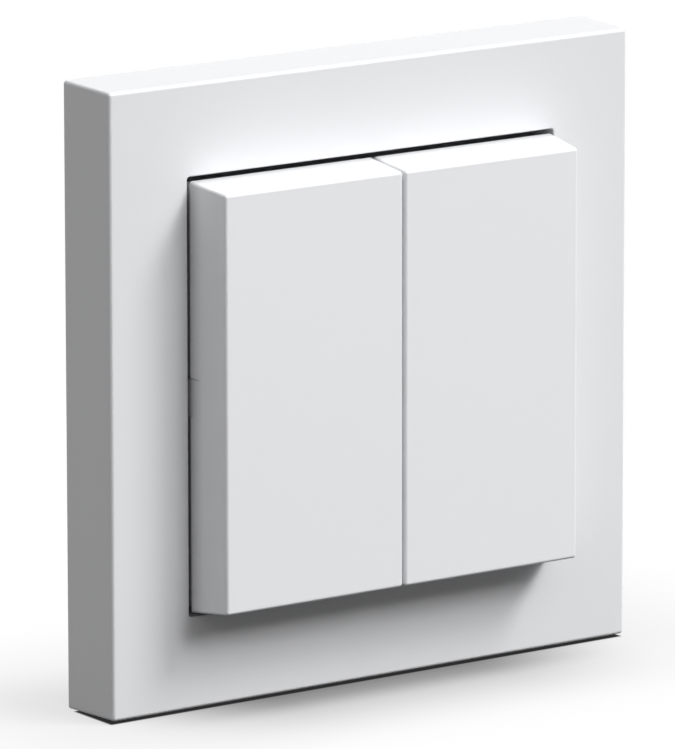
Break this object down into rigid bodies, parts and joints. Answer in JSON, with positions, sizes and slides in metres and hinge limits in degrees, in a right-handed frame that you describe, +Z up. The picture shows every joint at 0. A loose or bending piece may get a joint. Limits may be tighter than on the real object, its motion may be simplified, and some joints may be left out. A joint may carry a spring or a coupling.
{
  "type": "wireless wall switch",
  "caption": "Square wireless wall switch: a cover frame round two tall tilting rockers, over a battery-free radio module on a wall plate.",
  "frame": {"origin": "middle of the back of the wall plate, on the wall", "axes": "+X right, +Z up, +Y into the wall, so the rockers face -Y"},
  "size_m": [0.08, 0.0163, 0.08],
  "materials": {
    "white_cover": "fine satin white polycarbonate",
    "white_inner": "matt white moulded plastic",
    "inner_dark": "matt dark grey moulded plastic",
    "module_grey": "matt grey moulded plastic",
    "foam_pad": "white double-sided foam with a paper liner",
    "silicone": "translucent grey silicone",
    "carbon": "black conductive rubber",
    "gold_plate": "gold plated copper",
    "board_green": "green solder mask",
    "shield_steel": "tinned steel",
    "chip_black": "black moulded package",
    "soft_iron": "nickel plated soft iron",
    "copper_wire": "enamelled copper wire",
    "bobbin_black": "black moulded plastic",
    "magnet_grey": "nickel plated magnet",
    "spring_steel": "bright spring steel"
  },
  "bodies": {
    "housing": {"outer_frame": "white_cover", "wall_plate": "white_inner", "retaining_frame": "inner_dark", "adhesive_pads": "foam_pad", "module_base": "module_grey", "module_cover": "module_grey", "contact_mat": "silicone", "carbon_pills": "carbon", "contact_pads": "gold_plate", "circuit_board": "board_green", "radio_module": "shield_steel", "microcontroller": "chip_black", "rectifier": "chip_black", "crystal": "shield_steel", "storage_capacitors": "shield_steel", "chip_resistors": "chip_black", "antenna_wire": "copper_wire", "generator_yoke": "soft_iron", "armature_pin": "spring_steel", "coil_bobbin": "bobbin_black", "coil_winding": "copper_wire", "coil_terminals": "gold_plate", "pole_plate_front": "soft_iron", "pole_plate_back": "soft_iron", "magnets": "magnet_grey", "armature_spring": "spring_steel", "energy_bow": "spring_steel"},
    "rocker_left": {"rocker_left": "white_cover"},
    "rocker_right": {"rocker_right": "white_cover"},
    "armature": {"armature": "soft_iron"}
  },
  "joints": [
    {"name": "rocker_left_tilt", "type": "hinge", "parent": "housing", "child": "rocker_left", "pos_m": [0, -0.0127, 0], "axis": [1, 0, 0], "range_deg": [-3.5, 3.5], "stiffness_Nm_per_rad": 0.5, "deforming": ["energy_bow", "contact_mat"]},
    {"name": "rocker_right_tilt", "type": "hinge", "parent": "housing", "child": "rocker_right", "pos_m": [0, -0.0127, 0], "axis": [1, 0, 0], "range_deg": [-3.5, 3.5], "stiffness_Nm_per_rad": 0.5, "deforming": ["energy_bow", "contact_mat"]},
    {"name": "armature_flip", "type": "hinge", "parent": "housing", "child": "armature", "pos_m": [0, -0.005, -0.0166], "axis": [-1, 0, 0], "range_deg": [0, 2], "stiffness_Nm_per_rad": 0.01, "deforming": ["armature_spring"]}
  ]
}
